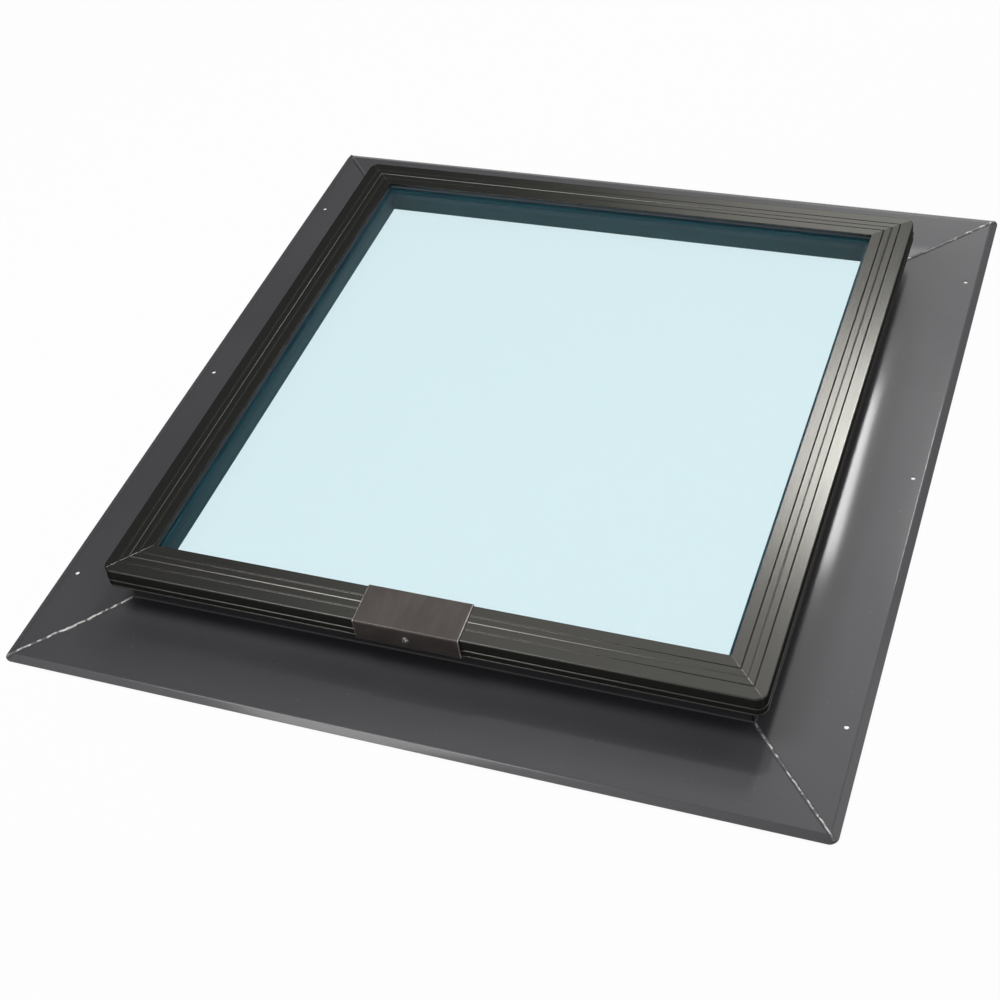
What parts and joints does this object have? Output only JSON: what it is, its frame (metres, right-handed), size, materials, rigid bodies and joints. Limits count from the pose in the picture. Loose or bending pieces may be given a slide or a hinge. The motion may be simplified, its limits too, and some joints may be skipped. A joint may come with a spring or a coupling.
{
  "type": "roof skylight",
  "caption": "Fixed low-profile roof skylight: welded self-flashing flange and curb, sealed flat double glazing, and a grooved one-piece cap frame with a splice cover at the sill.",
  "frame": {"origin": "centre of the outline, at the level of the kicked edge's feet, where the flange meets the roof deck", "axes": "+Z away from the roof, -Y towards the sill (the lower edge on a sloping roof), +X towards the right side seen from the sill"},
  "size_m": [0.8094, 0.8554, 0.0628],
  "materials": {
    "flashing": "satin charcoal coating",
    "weld": "rough weld bead",
    "liner": "matt dark",
    "gasket": "matt black",
    "glass": "clear, pale blue-green",
    "spacer": "dark satin",
    "sealant": "matt black",
    "block": "matt black",
    "cap": "dark bronze anodised, brushed along its length",
    "cover": "dark bronze, satin",
    "screw": "dark bronze coated"
  },
  "bodies": {
    "root": {"flashing_sill": "flashing", "flashing_right": "flashing", "flashing_head": "flashing", "flashing_left": "flashing", "weld_sill_left": "weld", "weld_sill_right": "weld", "weld_head_right": "weld", "weld_head_left": "weld", "liner_sill": "liner", "liner_right": "liner", "liner_head": "liner", "liner_left": "liner", "bed_gasket": "gasket", "cap_gasket": "gasket", "inner_pane": "glass", "outer_pane": "glass", "glass_spacer": "spacer", "edge_seal": "sealant", "setting_blocks": "block", "cap_frame": "cap", "splice_cover": "cover", "splice_screw": "screw"}
  },
  "joints": []
}
